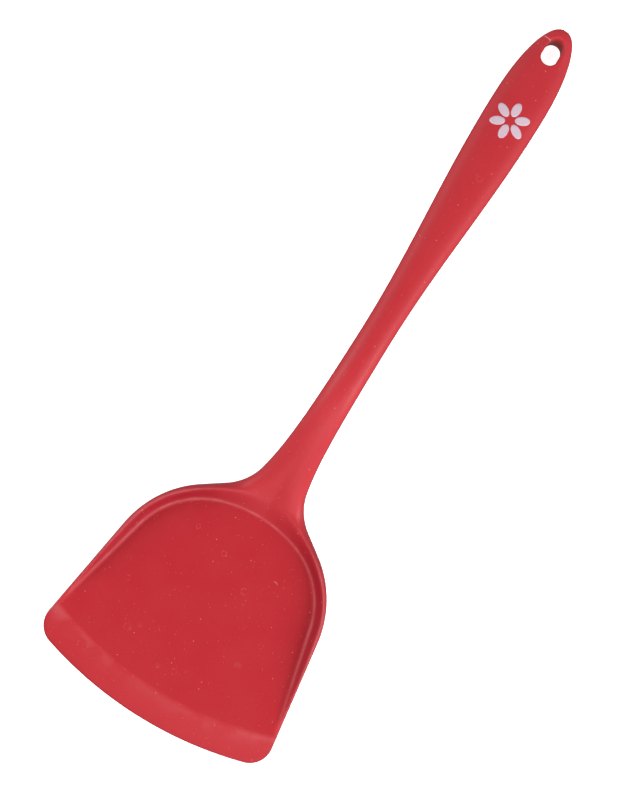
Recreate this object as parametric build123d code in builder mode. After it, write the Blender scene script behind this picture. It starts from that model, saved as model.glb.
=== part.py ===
from build123d import *
import os
from math import atan, cos, degrees, exp, pi, radians, sin, sqrt, tan

# Silicone turner. A skin of silicone is moulded over a perforated steel insert
# in the blade, and over a nylon handle core whose two halves are riveted
# together through the insert's tang. A mark is printed on the handle.
# +Y runs along the handle to its tip, +Z is up on the food side, and the
# origin is at the centre of the footprint, on the surface it lies on.
# Stations are distances behind the front of the blade.

# Plan view, mm and degrees
LENGTH = 335.0
FRONT_RADIUS = 167.0
FRONT_CORNER = 10.0
SIDE_WIDTH = 54.34          # half width of the blade at SIDE_STATION
SIDE_STATION = 20.0
SIDE_ANGLE = 8.66           # each side leans in by this
SHOULDER_STATION = 66.0
SHOULDER_RADIUS = 45.0
SHOULDER_ANGLE = 54.8
SHOULDER_RUN = 10.7         # straight slope between shoulder and neck
NECK_RADIUS = 23.4
NECK_ANGLE = 13.1
NECK_FADE = 19.0            # the flare of the neck dies out over this length
WAIST_WIDTH = 6.5           # half width of the handle where it is slimmest
WAIST_STATION = 183.0
GRIP_WIDTH = 11.62          # half width of the handle where it is widest
GRIP_STATION = 296.0
TIP_POWERS = (2.2, 2.3)     # how full the plan of the handle's end is, along it and across

# Side view
BLADE_THICKNESS = 2.9
EDGE_THICKNESS = 0.9
LIP_WIDTH = 12.3
LIP_ARC = 60.0              # degrees of the front arc that the lip's bevel is cut over
RIM_STATION = 27.0          # the side rims start to rise here
RIM_START = 0.1
RIM_HEIGHT = 6.7
RIM_FADE = 22.0             # and come near to RIM_HEIGHT over this length
RIM_BLEND = 2.0             # the rims run into the neck over this height
NECK_SLOPE = 0.66
TOP_STATIONS = (93.0, 151.6)        # the top climbs the neck between these
UNDER_STATIONS = (110.0, 152.1)
SPINE_STATIONS = (103.0, 151.85)
HUMP_STATION = 177.0                # behind this the handle runs down to its tip
NECK_BEND = 8.0             # half lengths over which these lines turn: up into the neck,
HUMP_BEND = 21.0            # level at the top of the neck,
FALL_BEND = 25.0            # and down behind the hump
TOP_FALL = 0.2
UNDER_FALL = 0.187
SPINE_FALL = 0.1935
TIP_ROUNDING = 8.0
HANDLE_ROUNDING = 5.2
ROUND_SHARES = (0.44, 0.42) # most of a section's height and width that its rounding takes
UNDER_ROUNDING = 1.3
UNDER_ROUNDING_RISE = 0.14  # the rounding below grows by this for each mm behind the blade
BLADE_END = 100.0
FOOT_CUT = 0.3              # cut level off the underside, so that it lies flat

# Pan of the blade: the outline of its floor, and how its walls lean
PAN_SIDE_ANGLE = 13.7
PAN_SHOULDER_RADIUS = 36.0
PAN_CROWN_RADIUS = 57.7
PAN_CROWN_ANGLE = 72.0
PAN_END = 97.4
PAN_ANGLES = (PAN_SIDE_ANGLE, 29, 44, 58, PAN_CROWN_ANGLE, 81, 90)
PAN_SIDE_RUN = 75.0         # the side walls run on past the front by this
PAN_DEPTH = 15.0
WALL_RUN = 0.6              # run of the side walls for each mm of rise
HEEL_RUN = 1.35             # and of the slope up to the neck
HEEL_ANGLE = 45.0           # the slope eases from one to the other behind this angle

# Hanging hole
HOLE_STATION = 323.2
HOLE_LENGTH = 12.5
HOLE_WIDTH = 7.2

# Steel insert
INSERT_THICKNESS = 1.0
INSERT_FRONT = 24.0
INSERT_MARGIN = 9.0
INSERT_CORNER = 8.0
INSERT_SHOULDERS = (72.0, 88.0)     # the plate narrows to the tang behind these
KEY_HOLE_RADIUS = 3.0       # the silicone grips the plate through these
KEY_HOLE_PITCH = 15.0
KEY_HOLE_STATION = 55.0
TANG_WIDTH = 7.4
TANG_START = 106.0
TANG_END = 181.0
STRIP_STATIONS = (20, 60, 88, 95, 100, 106, 113, 121, 130, 139, 148, 157, 166, 174, TANG_END)

# Nylon core and its rivets
SKIN_OVER_CORE = 2.4
CORE_STATIONS = (118, 126, 136, 148, 160, 172, 186, 204, 224, 246, 268, 288, 308)
CORE_ROUND_SHARE = 0.4
RIVET_STATIONS = (128, 148, 170, 212, 254, 296)
RIVET_RADIUS = 1.5
RIVET_LENGTH = 5.0
HEAD_RADIUS = 2.6
HEAD_HEIGHT = 0.9
BORE_DEPTH = 5.0            # from the shoulder of a counterbore to clear of the core

# Printed mark
MARK_STATION = 289.5
MARK_FILM = 0.12
PETALS = 6
PETAL_LENGTH = 6.4
PETAL_WIDTH = 3.7
PETAL_CIRCLE = 5.2

ABOVE_ALL = 60.0            # higher than any part of the turner


def along(station):
    """Y of a station."""
    return station - LENGTH / 2


def bend(distance, reach):
    """Height of a line that turns from level to a slope of one, rounded over +-reach."""
    if distance <= -reach:
        return 0.0
    if distance >= reach:
        return distance
    share = distance / reach
    return reach * (share + 1) ** 3 * (3 - share) / 16


def moved(point, distance, angle):
    """Plan point at a distance from another, with the angle measured from +X."""
    return (
        point[0] + distance * cos(radians(angle)),
        point[1] + distance * sin(radians(angle)),
    )


def side_line(station):
    """Half width on the straight side of the blade."""
    return SIDE_WIDTH - (station - SIDE_STATION) * tan(radians(SIDE_ANGLE))


# Side line, shoulder arc, straight slope and neck arc meet at tangent points
SHOULDER_START = (side_line(SHOULDER_STATION), SHOULDER_STATION)
SHOULDER_CENTRE = moved(SHOULDER_START, -SHOULDER_RADIUS, SIDE_ANGLE)
SHOULDER_END = moved(SHOULDER_CENTRE, SHOULDER_RADIUS, SHOULDER_ANGLE)
NECK_START = moved(SHOULDER_END, SHOULDER_RUN, SHOULDER_ANGLE + 90)
NECK_CENTRE = moved(NECK_START, NECK_RADIUS, SHOULDER_ANGLE)
NECK_END = moved(NECK_CENTRE, -NECK_RADIUS, NECK_ANGLE)


def half_width(station):
    """Half the width of the turner at a station."""
    if station < SHOULDER_START[1]:
        return side_line(station)
    if station < SHOULDER_END[1]:
        rise = station - SHOULDER_CENTRE[1]
        return SHOULDER_CENTRE[0] + sqrt(SHOULDER_RADIUS**2 - rise**2)
    if station < NECK_START[1]:
        return SHOULDER_END[0] - (station - SHOULDER_END[1]) * tan(radians(SHOULDER_ANGLE))
    if station < NECK_END[1]:
        rise = station - NECK_CENTRE[1]
        return NECK_CENTRE[0] - sqrt(NECK_RADIUS**2 - rise**2)
    flare = (NECK_END[0] - WAIST_WIDTH) * exp((NECK_END[1] - station) / NECK_FADE)
    share = min(max((station - WAIST_STATION) / (GRIP_STATION - WAIST_STATION), 0), 1)
    swell = (GRIP_WIDTH - WAIST_WIDTH) * (1 - cos(pi * share)) / 2
    to_tip = max((station - GRIP_STATION) / (LENGTH - GRIP_STATION), 0)
    return (WAIST_WIDTH + flare + swell) * (1 - to_tip ** TIP_POWERS[0]) ** (1 / TIP_POWERS[1])


def arch(station, climb_stations, fall):
    """Height of a line that climbs the neck, turns over, and falls to the tip."""
    start, end = climb_stations
    climb = bend(station - start, NECK_BEND) - bend(station - end, HUMP_BEND)
    return NECK_SLOPE * climb - fall * bend(station - HUMP_STATION, FALL_BEND)


def top_line(station):
    """Height of the top before the pan is cut: side rims, then neck and handle."""
    rim = RIM_START + RIM_HEIGHT * (1 - exp(-max(station - RIM_STATION, 0) / RIM_FADE))
    neck = arch(station, TOP_STATIONS, TOP_FALL) - RIM_BLEND
    return BLADE_THICKNESS + rim + bend(neck - rim, RIM_BLEND)


def under_line(station):
    """Height of the underside before the level cut."""
    return max(arch(station, UNDER_STATIONS, UNDER_FALL), 0) - FOOT_CUT


def spine_line(station):
    """Height of the middle of the steel insert and of the joint in the core."""
    return BLADE_THICKNESS / 2 + arch(station, SPINE_STATIONS, SPINE_FALL)


def spine_angle(station):
    """Slope of the spine in degrees."""
    return degrees(atan(spine_line(station + 0.5) - spine_line(station - 0.5)))


def beside_spine(station, offset):
    """Point in the YZ plane at a distance from the spine, measured square to it."""
    angle = radians(spine_angle(station))
    return (
        along(station) - offset * sin(angle),
        spine_line(station) + offset * cos(angle),
    )


def cross_plane(station, height):
    """Upright plane across the turner, with its X along +X and its Y along +Z."""
    return Plane(origin=(0, along(station), height), x_dir=(1, 0, 0), z_dir=(0, -1, 0))


def handle_plane(station, offset=0.0):
    """Plane square to the handle's own top, at a distance above the spine."""
    y, z = beside_spine(station, offset)
    angle = radians(spine_angle(station))
    return Plane(origin=(0, y, z), x_dir=(1, 0, 0), z_dir=(0, -sin(angle), cos(angle)))


def pan_point(angle, rise):
    """Plan point of the pan's wall at a height above the floor, by its outward angle."""
    if angle > PAN_CROWN_ANGLE:
        foot = moved((0, PAN_END - PAN_CROWN_RADIUS), PAN_CROWN_RADIUS, angle)
    else:
        crown_end = moved((0, PAN_END - PAN_CROWN_RADIUS), PAN_CROWN_RADIUS, PAN_CROWN_ANGLE)
        centre = moved(crown_end, -PAN_SHOULDER_RADIUS, PAN_CROWN_ANGLE)
        foot = moved(centre, PAN_SHOULDER_RADIUS, angle)
    heel_share = max(angle - HEEL_ANGLE, 0) / (90 - HEEL_ANGLE)
    run = WALL_RUN + (HEEL_RUN - WALL_RUN) * heel_share**2
    x, station = moved(foot, rise * run, angle)
    return x, along(station)


# Outer body: rounded sections, in a straight run up to the start of the rims and
# in a smooth one from there to the tip
FRONT_STATIONS = (-6, RIM_STATION)
BLADE_STATIONS = (RIM_STATION, 31, 36, 42, 49, 57, 65, 72, 78, 84, 89, 94, 98, 102, 106)
HANDLE_STATIONS = (110, 115, 121, 129, 138, 148, 160, 172, 186, 204, 224, 246, 268, 286, 300)
TIP_STATIONS = tuple(LENGTH - ahead for ahead in (26, 18, 12, 7.5, 4.5, 2.4, 1, 0.2))


def outer_size(station):
    """Width and height of the outer section, drawn in together round the tip."""
    to_tip = max(station - LENGTH + TIP_ROUNDING, 0) / TIP_ROUNDING
    height = (top_line(station) - under_line(station)) * sqrt(1 - to_tip**2)
    return 2 * half_width(station), height


with BuildPart() as body:
    for run in (FRONT_STATIONS, BLADE_STATIONS + HANDLE_STATIONS + TIP_STATIONS):
        for station in run:
            width, height = outer_size(station)
            middle = (top_line(station) + under_line(station)) / 2
            top_round = min(ROUND_SHARES[0] * height, ROUND_SHARES[1] * width, HANDLE_ROUNDING)
            under_rise = UNDER_ROUNDING_RISE * bend(station - BLADE_END, NECK_BEND)
            under_round = min(UNDER_ROUNDING + under_rise, top_round)
            with BuildSketch(cross_plane(station, middle)) as section:
                Rectangle(width, height)
                fillet(section.vertices().group_by(Axis.Y)[-1], top_round)
                fillet(section.vertices().group_by(Axis.Y)[0], under_round)
        loft(ruled=(run == FRONT_STATIONS))

    # The blank cuts the underside level and gives the front edge its arc and its
    # corners. It is a hair wider than the straight sides and clear of the rest.
    hair = 0.02
    front_x = side_line(FRONT_CORNER) + hair
    front_y = along(FRONT_RADIUS - sqrt(FRONT_RADIUS**2 - front_x**2))
    straight_station = SHOULDER_STATION - FRONT_CORNER
    straight_end = (side_line(straight_station) + hair, along(straight_station))
    with BuildSketch() as blank:
        with BuildLine():
            ThreePointArc((-front_x, front_y), (0, along(0)), (front_x, front_y))
            Polyline(
                (front_x, front_y),
                straight_end,
                (2 * SIDE_WIDTH, along(LENGTH)),
                (-2 * SIDE_WIDTH, along(LENGTH)),
                (-straight_end[0], straight_end[1]),
                (-front_x, front_y),
            )
        make_face()
        fillet(blank.vertices().group_by(Axis.Y)[0], FRONT_CORNER)
    extrude(amount=ABOVE_ALL, mode=Mode.INTERSECT)

# Space that the pan takes out of the blade, wider towards its top
with BuildPart() as pan:
    for rise in (0, PAN_DEPTH):
        with BuildSketch(Plane.XY.offset(BLADE_THICKNESS + rise)):
            with BuildLine():
                wall = Spline([pan_point(angle, rise) for angle in PAN_ANGLES])
                side = Line(wall @ 0, wall @ 0 - PAN_SIDE_RUN * (wall % 0))
                Line(side @ 1, (0, (side @ 1).Y))
                mirror(about=Plane.YZ)
            make_face()
    loft()

# Steel insert: a strip that follows the spine, cut to a plate with a tang
with BuildPart() as insert_blank:
    with BuildSketch(Plane.YZ):
        with BuildLine():
            upper = Spline([beside_spine(station, INSERT_THICKNESS / 2) for station in STRIP_STATIONS])
            lower = Spline([beside_spine(station, -INSERT_THICKNESS / 2) for station in STRIP_STATIONS])
            Line(upper @ 0, lower @ 0)
            Line(upper @ 1, lower @ 1)
        make_face()
    extrude(amount=SIDE_WIDTH, both=True)

    plate_x = side_line(INSERT_FRONT) - INSERT_MARGIN
    plate_radius = FRONT_RADIUS - INSERT_FRONT
    plate_y = along(FRONT_RADIUS - sqrt(plate_radius**2 - plate_x**2))
    right_side = [
        (plate_x, plate_y),
        *[(half_width(station) - INSERT_MARGIN, along(station)) for station in INSERT_SHOULDERS],
        (TANG_WIDTH / 2, along(TANG_START)),
        (TANG_WIDTH / 2, along(TANG_END)),
    ]
    left_side = [(-x, y) for x, y in reversed(right_side)]
    with BuildSketch() as plate:
        with BuildLine():
            ThreePointArc((-plate_x, plate_y), (0, along(INSERT_FRONT)), (plate_x, plate_y))
            Polyline(*right_side, *left_side)
        make_face()
        fillet(plate.vertices() - plate.vertices().group_by(Axis.Y)[-1], INSERT_CORNER)
        fillet(plate.vertices().group_by(Axis.Y)[-1], RIVET_RADIUS)
    extrude(amount=ABOVE_ALL, mode=Mode.INTERSECT)

    with BuildSketch():
        with Locations((0, along(KEY_HOLE_STATION))):
            with GridLocations(KEY_HOLE_PITCH, KEY_HOLE_PITCH, 5, 3):
                Circle(KEY_HOLE_RADIUS)
        with Locations((0, along(KEY_HOLE_STATION + 2 * KEY_HOLE_PITCH))):
            with GridLocations(KEY_HOLE_PITCH, KEY_HOLE_PITCH, 3, 1):
                Circle(KEY_HOLE_RADIUS)
    extrude(amount=ABOVE_ALL, mode=Mode.SUBTRACT)

# Rivets through the core, and the room that they and their counterbores take
with BuildPart() as core_rivets:
    with Locations([handle_plane(station) for station in RIVET_STATIONS]):
        Cylinder(RIVET_RADIUS, RIVET_LENGTH)
    head_offset = (RIVET_LENGTH - HEAD_HEIGHT) / 2
    for offset in (-head_offset, head_offset):
        with Locations([handle_plane(station, offset) for station in RIVET_STATIONS]):
            Cylinder(HEAD_RADIUS, HEAD_HEIGHT)

with BuildPart() as rivet_room:
    add(core_rivets.part)
    bore_offset = (RIVET_LENGTH + BORE_DEPTH) / 2 - HEAD_HEIGHT
    for offset in (-bore_offset, bore_offset):
        with Locations([handle_plane(station, offset) for station in RIVET_STATIONS]):
            Cylinder(HEAD_RADIUS, BORE_DEPTH)

with BuildPart() as blade_insert:
    add(insert_blank.part)
    add(core_rivets.part, mode=Mode.SUBTRACT)

# Handle core, parted along the spine into an upper and a lower half
with BuildPart() as handle_core:
    for station in CORE_STATIONS:
        skin = SKIN_OVER_CORE / cos(radians(spine_angle(station)))
        height = top_line(station) - under_line(station) - 2 * skin
        width = 2 * (half_width(station) - SKIN_OVER_CORE)
        with BuildSketch(cross_plane(station, spine_line(station))):
            RectangleRounded(width, height, CORE_ROUND_SHARE * height)
    loft()


def core_half(height):
    """The part of the handle core between the spine and a level above or below it."""
    first, *inner, last = CORE_STATIONS
    joint_stations = (first - SKIN_OVER_CORE, *inner, last + SKIN_OVER_CORE)
    with BuildPart() as half:
        add(handle_core.part)
        with BuildSketch(Plane.YZ):
            with BuildLine():
                joint = Spline([(along(station), spine_line(station)) for station in joint_stations])
                Polyline(joint @ 0, ((joint @ 0).X, height), ((joint @ 1).X, height), joint @ 1)
            make_face()
        extrude(amount=GRIP_WIDTH, both=True, mode=Mode.INTERSECT)
        add(insert_blank.part, mode=Mode.SUBTRACT)
        add(rivet_room.part, mode=Mode.SUBTRACT)
    return half


core_upper_half = core_half(ABOVE_ALL)
core_lower_half = core_half(-ABOVE_ALL)

# Silicone skin: the outer body less the pan, the bevel of the lip, the hanging
# hole, and everything that it is moulded over
lip_turn = radians(LIP_ARC / 2)
lip_start = Plane(
    origin=(0, along(FRONT_RADIUS), 0),
    x_dir=(-sin(lip_turn), -cos(lip_turn), 0),
    z_dir=(-cos(lip_turn), sin(lip_turn), 0),
)
with BuildPart() as silicone_skin:
    add(body.part)
    add(pan.part, mode=Mode.SUBTRACT)
    with BuildSketch(lip_start):
        with BuildLine():
            Polyline(
                (FRONT_RADIUS, EDGE_THICKNESS),
                (FRONT_RADIUS - LIP_WIDTH, BLADE_THICKNESS + RIM_START),
                (FRONT_RADIUS - LIP_WIDTH, 2 * BLADE_THICKNESS),
                (FRONT_RADIUS + BLADE_THICKNESS, 2 * BLADE_THICKNESS),
                (FRONT_RADIUS + BLADE_THICKNESS, EDGE_THICKNESS),
                (FRONT_RADIUS, EDGE_THICKNESS),
            )
        make_face()
    revolve(
        axis=Axis((0, along(FRONT_RADIUS), 0), (0, 0, 1)),
        revolution_arc=LIP_ARC,
        mode=Mode.SUBTRACT,
    )

    with BuildSketch(handle_plane(HOLE_STATION)):
        SlotOverall(HOLE_LENGTH, HOLE_WIDTH, rotation=90)
    extrude(amount=ABOVE_ALL, both=True, mode=Mode.SUBTRACT)

    for inner_piece in (blade_insert, core_upper_half, core_lower_half, core_rivets):
        add(inner_piece.part, mode=Mode.SUBTRACT)

# Mark: a film of ink on the top of the handle, six petals round a centre
with BuildPart() as printed_mark:
    with BuildSketch():
        with Locations((0, along(MARK_STATION))):
            with PolarLocations(PETAL_CIRCLE, PETALS, start_angle=90):
                Ellipse(PETAL_LENGTH / 2, PETAL_WIDTH / 2)
    extrude(amount=ABOVE_ALL)
    add(body.part.moved(Location((0, 0, MARK_FILM))), mode=Mode.INTERSECT)
    add(body.part, mode=Mode.SUBTRACT)

os.makedirs("parts", exist_ok=True)
for name, piece in (
    ("silicone_skin", silicone_skin),
    ("blade_insert", blade_insert),
    ("core_upper_half", core_upper_half),
    ("core_lower_half", core_lower_half),
    ("core_rivets", core_rivets),
    ("printed_mark", printed_mark),
):
    piece.part.label = name
    export_step(piece.part, f"parts/{name}.step")
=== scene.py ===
"""Looks of the silicone turner: its skin as one smooth mesh, its mark and its materials."""

from math import atan, cos, pi, radians, sin, sqrt, tan

import bmesh
import bpy
import numpy as np
from mathutils import Euler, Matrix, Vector
from mathutils.geometry import delaunay_2d_cdt
from mathutils.kdtree import KDTree


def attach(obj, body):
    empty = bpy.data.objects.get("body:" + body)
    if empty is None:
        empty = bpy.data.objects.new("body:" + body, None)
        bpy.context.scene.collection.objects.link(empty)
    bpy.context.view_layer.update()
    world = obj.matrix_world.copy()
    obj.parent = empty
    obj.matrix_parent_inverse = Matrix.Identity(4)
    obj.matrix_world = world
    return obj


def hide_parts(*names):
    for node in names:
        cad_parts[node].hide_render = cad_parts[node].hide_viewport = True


MM = 0.001

# ---------------------------------------------------------------- sizes, as in part.py
# In mm and degrees. Stations are distances behind the front of the blade.

LENGTH = 335.0
FRONT_RADIUS = 167.0
FRONT_CORNER = 10.0
SIDE_WIDTH = 54.34
SIDE_STATION = 20.0
SIDE_ANGLE = 8.66
SHOULDER_STATION = 66.0
SHOULDER_RADIUS = 45.0
SHOULDER_ANGLE = 54.8
SHOULDER_RUN = 10.7
NECK_RADIUS = 23.4
NECK_ANGLE = 13.1
NECK_FADE = 19.0
WAIST_WIDTH = 6.5
WAIST_STATION = 183.0
GRIP_WIDTH = 11.62
GRIP_STATION = 296.0
TIP_POWERS = (2.2, 2.3)

BLADE_THICKNESS = 2.9
EDGE_THICKNESS = 0.9
LIP_WIDTH = 12.3
RIM_STATION = 27.0
RIM_START = 0.1
RIM_HEIGHT = 6.7
RIM_FADE = 22.0
RIM_BLEND = 2.0
NECK_SLOPE = 0.66
TOP_STATIONS = (93.0, 151.6)
UNDER_STATIONS = (110.0, 152.1)
SPINE_STATIONS = (103.0, 151.85)
HUMP_STATION = 177.0
NECK_BEND = 8.0
HUMP_BEND = 21.0
FALL_BEND = 25.0
TOP_FALL = 0.2
UNDER_FALL = 0.187
SPINE_FALL = 0.1935
FOOT_CUT = 0.3

PAN_SIDE_ANGLE = 13.7
PAN_SHOULDER_RADIUS = 36.0
PAN_CROWN_RADIUS = 57.7
PAN_CROWN_ANGLE = 72.0
PAN_END = 97.4
WALL_RUN = 0.6
HEEL_RUN = 1.35
HEEL_ANGLE = 45.0

HOLE_STATION = 323.2
HOLE_LENGTH = 12.5
HOLE_WIDTH = 7.2

MARK_STATION = 289.5
PETALS = 6
PETAL_LENGTH = 6.4
PETAL_WIDTH = 3.7
PETAL_CIRCLE = 5.2

# ---------------------------------------------------------------- sizes of the finer forms

TIP_RUN = 6.0                   # the outline's points are closer over this, at the tip
EDGE_REACHES = (0.45, 0.85)     # how far the top edge is rounded, at the lip and at the rims
EDGE_HEIGHTS = (0.45, 1.1)      # height of the widest line, at the lip and at the rims
EDGE_POWERS = (2.0, 3.5)
UNDER_REACHES = (0.45, 1.0)
HANDLE_POWER = 2.35             # the handle's section is an oval of this power
NECK_STATIONS = (90.0, 128.0)   # the rims' edges turn into the oval between these
BAND_WIDTH = 3.2                # the top of the rim slopes outward over this width
BAND_SLOPE = tan(radians(12))
BAND_FADE = 1.5                 # the slope fades in as the rim rises by this
FOOT_REACH = 1.6                # rounding where the floor of the pan meets its walls
CREST_REACHES = (0.35, 2.8)     # rounding of the crest, at the sides and at the heel
LIP_REACH = 0.15
UNDER_TURN = 0.15               # rounding where the underside leaves the level
HOLE_ROUNDING = 0.7

# Spacing of the mesh along the outline: station, spacing
OUTLINE_GAPS = (
    (0, 1.5), (6, 1.0), (18, 0.8), (24, 1.2), (60, 1.0), (80, 0.8),
    (118, 0.8), (140, 1.6), (300, 1.6), (318, 0.7), (LENGTH, 0.4),
)
PART_SIZE = 400                 # points handled at once, to limit memory


def bend(distance, reach):
    """Height of a line that turns from level to a slope of one, rounded over +-reach."""
    share = np.clip(distance / reach, -1, 1)
    return np.where(distance > reach, distance, reach * (share + 1) ** 3 * (3 - share) / 16)


def lower_of(a, b, reach):
    """The lower of two heights, with a rounded change from one to the other."""
    return a - bend(a - b, reach)


def ease(share):
    """0 to 1 with level ends."""
    share = np.clip(share, 0, 1)
    return share * share * (3 - 2 * share)


def between(pair, share):
    return pair[0] + (pair[1] - pair[0]) * share


def moved(point, distance, angle):
    """Plan point at a distance from another, with the angle measured from +X."""
    return np.array(point) + distance * np.array([cos(radians(angle)), sin(radians(angle))])


# ---------------------------------------------------------------- outline, seen from above

def side_line(station):
    return SIDE_WIDTH - (station - SIDE_STATION) * tan(radians(SIDE_ANGLE))


SHOULDER_START = np.array([side_line(SHOULDER_STATION), SHOULDER_STATION])
SHOULDER_CENTRE = moved(SHOULDER_START, -SHOULDER_RADIUS, SIDE_ANGLE)
SHOULDER_END = moved(SHOULDER_CENTRE, SHOULDER_RADIUS, SHOULDER_ANGLE)
NECK_START = moved(SHOULDER_END, SHOULDER_RUN, SHOULDER_ANGLE + 90)
NECK_CENTRE = moved(NECK_START, NECK_RADIUS, SHOULDER_ANGLE)
NECK_END = moved(NECK_CENTRE, -NECK_RADIUS, NECK_ANGLE)


def half_width(station):
    """Half the width at a station behind the front corners."""
    shoulder_rise = np.minimum(abs(station - SHOULDER_CENTRE[1]), SHOULDER_RADIUS)
    neck_rise = np.minimum(abs(station - NECK_CENTRE[1]), NECK_RADIUS)
    shoulder = SHOULDER_CENTRE[0] + np.sqrt(SHOULDER_RADIUS**2 - shoulder_rise**2)
    slope = SHOULDER_END[0] - (station - SHOULDER_END[1]) * tan(radians(SHOULDER_ANGLE))
    neck = NECK_CENTRE[0] - np.sqrt(NECK_RADIUS**2 - neck_rise**2)
    flare = (NECK_END[0] - WAIST_WIDTH) * np.exp((NECK_END[1] - station) / NECK_FADE)
    share = np.clip((station - WAIST_STATION) / (GRIP_STATION - WAIST_STATION), 0, 1)
    swell = (GRIP_WIDTH - WAIST_WIDTH) * (1 - np.cos(pi * share)) / 2
    to_tip = np.clip((station - GRIP_STATION) / (LENGTH - GRIP_STATION), 0, 1)
    handle = (WAIST_WIDTH + flare + swell) * (1 - to_tip ** TIP_POWERS[0]) ** (1 / TIP_POWERS[1])
    ends = (SHOULDER_START, SHOULDER_END, NECK_START, NECK_END)
    return np.select(
        [station < end[1] for end in ends],
        [side_line(station), shoulder, slope, neck],
        handle,
    )


def arc(centre, radius, start, end, count):
    """Plan points on an arc, angles in degrees from +X."""
    angles = np.radians(np.linspace(start, end, count))
    return np.stack([centre[0] + radius * np.cos(angles), centre[1] + radius * np.sin(angles)], axis=1)


def outline_run():
    """Right half of the outline as closely spaced points, from the front to the tip."""
    side = radians(SIDE_ANGLE)
    inset = SIDE_WIDTH * cos(side) + (SIDE_STATION - FRONT_RADIUS) * sin(side) - FRONT_CORNER
    ahead = sqrt((FRONT_RADIUS - FRONT_CORNER) ** 2 - inset**2)
    corner = np.array([
        inset * cos(side) + ahead * sin(side),
        FRONT_RADIUS + inset * sin(side) - ahead * cos(side),
    ])
    turn = np.degrees(np.arctan2(corner[1] - FRONT_RADIUS, corner[0]))
    sides = np.arange(corner[1] + FRONT_CORNER * sin(side), LENGTH - TIP_RUN, 0.1)
    tip = LENGTH - TIP_RUN * np.linspace(1, 0, 60) ** 2
    stations = np.concatenate([sides, tip])
    return np.concatenate([
        arc((0, FRONT_RADIUS), FRONT_RADIUS, -90, turn, 500),
        arc(corner, FRONT_CORNER, turn, SIDE_ANGLE, 150)[1:],
        np.stack([half_width(stations), stations], axis=1)[1:],
    ])


def respaced(points, gap):
    """Points along a line, as far apart as gap says at each station."""
    middles = (points[1:] + points[:-1]) / 2
    counts = np.hypot(*np.diff(points, axis=0).T) / gap(middles)
    along = np.concatenate([[0], np.cumsum(counts)])
    wanted = np.linspace(0, along[-1], max(int(round(along[-1])), 1) + 1)
    return np.stack([np.interp(wanted, along, points[:, k]) for k in (0, 1)], axis=1)


def outline_gap(points):
    """Spacing of the mesh along the outline: closer at the corners, shoulders and tip."""
    return np.interp(points[:, 1], *zip(*OUTLINE_GAPS))


OUTLINE = respaced(outline_run(), outline_gap)


def in_parts(points):
    """Plan points split into parts small enough to compare with the whole outline at once."""
    return np.array_split(points, len(points) // PART_SIZE + 1)


def from_front(points):
    """Distance of plan points behind the curved front of the blade."""
    return FRONT_RADIUS - np.hypot(points[:, 0], points[:, 1] - FRONT_RADIUS)


def distance_inside(points):
    """Distance of plan points from the outline."""
    a, b = OUTLINE[:-1], OUTLINE[1:]
    step = b - a
    right = np.stack([np.abs(points[:, 0]), points[:, 1]], axis=1)
    found = []
    for part in in_parts(right):
        from_start = part[:, None, :] - a
        share = np.clip((from_start * step).sum(2) / (step * step).sum(1), 0, 1)
        gap = from_start - share[:, :, None] * step
        found.append(np.sqrt((gap * gap).sum(2).min(1)))
    return np.concatenate(found)


# ---------------------------------------------------------------- heights, seen from the side

def arch(station, climb_stations, fall):
    """Height of a line that climbs the neck, turns over, and falls to the tip."""
    start, end = climb_stations
    climb = bend(station - start, NECK_BEND) - bend(station - end, HUMP_BEND)
    return NECK_SLOPE * climb - fall * bend(station - HUMP_STATION, FALL_BEND)


def top_line(station):
    rim = RIM_START + RIM_HEIGHT * (1 - np.exp(-np.maximum(station - RIM_STATION, 0) / RIM_FADE))
    neck = arch(station, TOP_STATIONS, TOP_FALL) - RIM_BLEND
    return BLADE_THICKNESS + rim + bend(neck - rim, RIM_BLEND)


def under_line(station):
    return bend(arch(station, UNDER_STATIONS, UNDER_FALL) - FOOT_CUT, UNDER_TURN)


def spine_line(station):
    return BLADE_THICKNESS / 2 + arch(station, SPINE_STATIONS, SPINE_FALL)


# ---------------------------------------------------------------- the pan

CROWN_CENTRE = np.array([0, PAN_END - PAN_CROWN_RADIUS])
PAN_SHOULDER_CENTRE = moved(
    moved(CROWN_CENTRE, PAN_CROWN_RADIUS, PAN_CROWN_ANGLE), -PAN_SHOULDER_RADIUS, PAN_CROWN_ANGLE
)
PAN_SIDE_END = moved(PAN_SHOULDER_CENTRE, PAN_SHOULDER_RADIUS, PAN_SIDE_ANGLE)


def pan_place(points):
    """How far plan points lie outside the foot of the pan's wall, and the wall's angle there."""
    x, station = np.abs(points[:, 0]), points[:, 1]
    crown = np.stack([x, station], axis=1) - CROWN_CENTRE
    shoulder = np.stack([x, station], axis=1) - PAN_SHOULDER_CENTRE
    crown_angle = np.degrees(np.arctan2(crown[:, 1], crown[:, 0]))
    shoulder_angle = np.degrees(np.arctan2(shoulder[:, 1], shoulder[:, 0]))
    side = (np.stack([x, station], axis=1) - PAN_SIDE_END) @ moved((0, 0), 1, PAN_SIDE_ANGLE)
    on_crown, on_shoulder = crown_angle > PAN_CROWN_ANGLE, shoulder_angle > PAN_SIDE_ANGLE
    outside = np.select(
        [on_crown, on_shoulder],
        [np.hypot(*crown.T) - PAN_CROWN_RADIUS, np.hypot(*shoulder.T) - PAN_SHOULDER_RADIUS],
        side,
    )
    angle = np.select([on_crown, on_shoulder], [crown_angle, shoulder_angle], PAN_SIDE_ANGLE)
    return outside, np.clip(angle, PAN_SIDE_ANGLE, 90)


def heel_share(angle):
    """0 on the side walls of the pan, rising to 1 at the middle of its heel."""
    return (np.maximum(angle - HEEL_ANGLE, 0) / (90 - HEEL_ANGLE)) ** 2


def wall_run(angle):
    return between((WALL_RUN, HEEL_RUN), heel_share(angle))


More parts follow.
